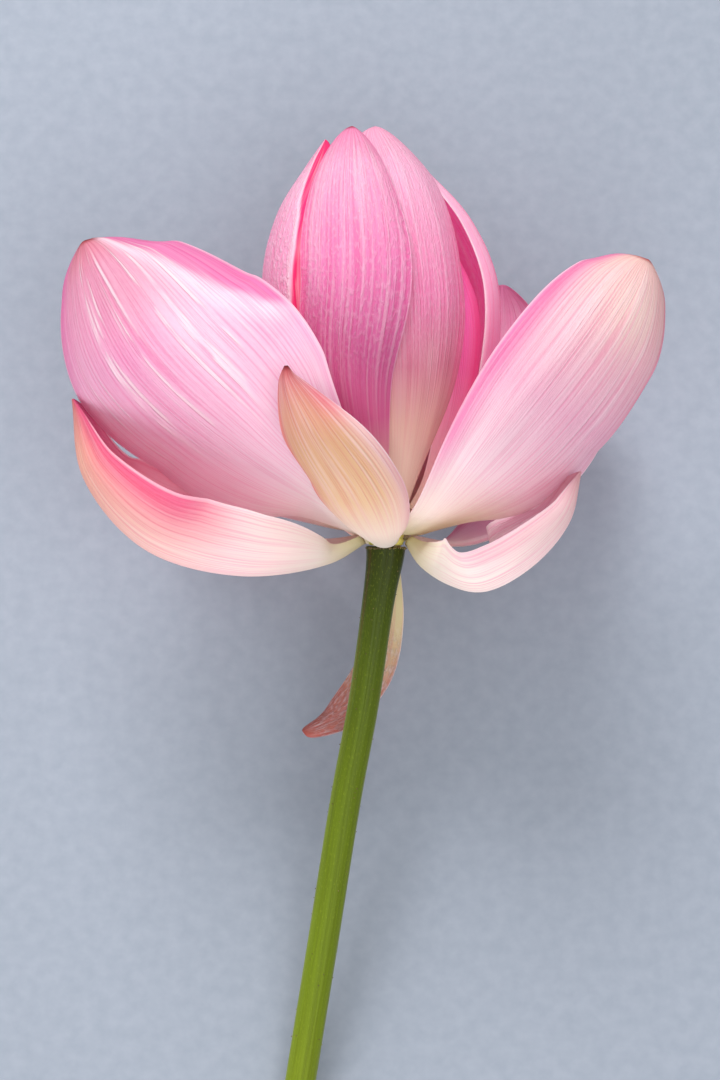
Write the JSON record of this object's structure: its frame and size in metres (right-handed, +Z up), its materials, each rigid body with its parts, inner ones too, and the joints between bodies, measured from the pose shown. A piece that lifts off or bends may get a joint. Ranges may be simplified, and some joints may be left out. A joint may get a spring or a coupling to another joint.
{
  "type": "lotus flower",
  "caption": "Half-open pink lotus flower with a closed inner bud, spread outer petals and a cut green stem, lying on its back petals.",
  "frame": {"origin": "centre of the footprint's bounding box, on the surface the flower lies on", "axes": "+Z up from that surface, +Y along the flower from the cut stem to the petal tips, +X to the right seen from above with the petals pointing away"},
  "size_m": [0.1582, 0.2686, 0.1019],
  "materials": {
    "stem": "smooth waxy green plant skin with small prickles",
    "receptacle": "matt spongy yellow-green flesh",
    "stamens": "matt golden anthers on cream filaments",
    "petal": "satin translucent petal with fine lengthwise veins",
    "sepal": "satin peach and green-cream sepal with a dark red tip"
  },
  "bodies": {
    "root": {"stem": "stem", "receptacle": "receptacle", "stamens": "stamens", "outer_petal_left": "petal", "outer_petal_right": "petal", "lower_petal_left": "petal", "lower_petal_right": "petal", "side_back_petal_left": "petal", "side_back_petal_right": "petal", "back_petal_left": "petal", "back_petal_right": "petal", "centre_petal_left": "petal", "centre_petal_right": "petal", "inner_petal_left": "petal", "inner_petal_right": "petal", "inner_petal_back_left": "petal", "inner_petal_back_right": "petal", "core_petal_left": "petal", "core_petal_right": "petal", "core_petal_back": "petal", "front_sepal": "sepal", "hanging_sepal": "sepal", "back_sepal": "sepal"}
  },
  "joints": []
}
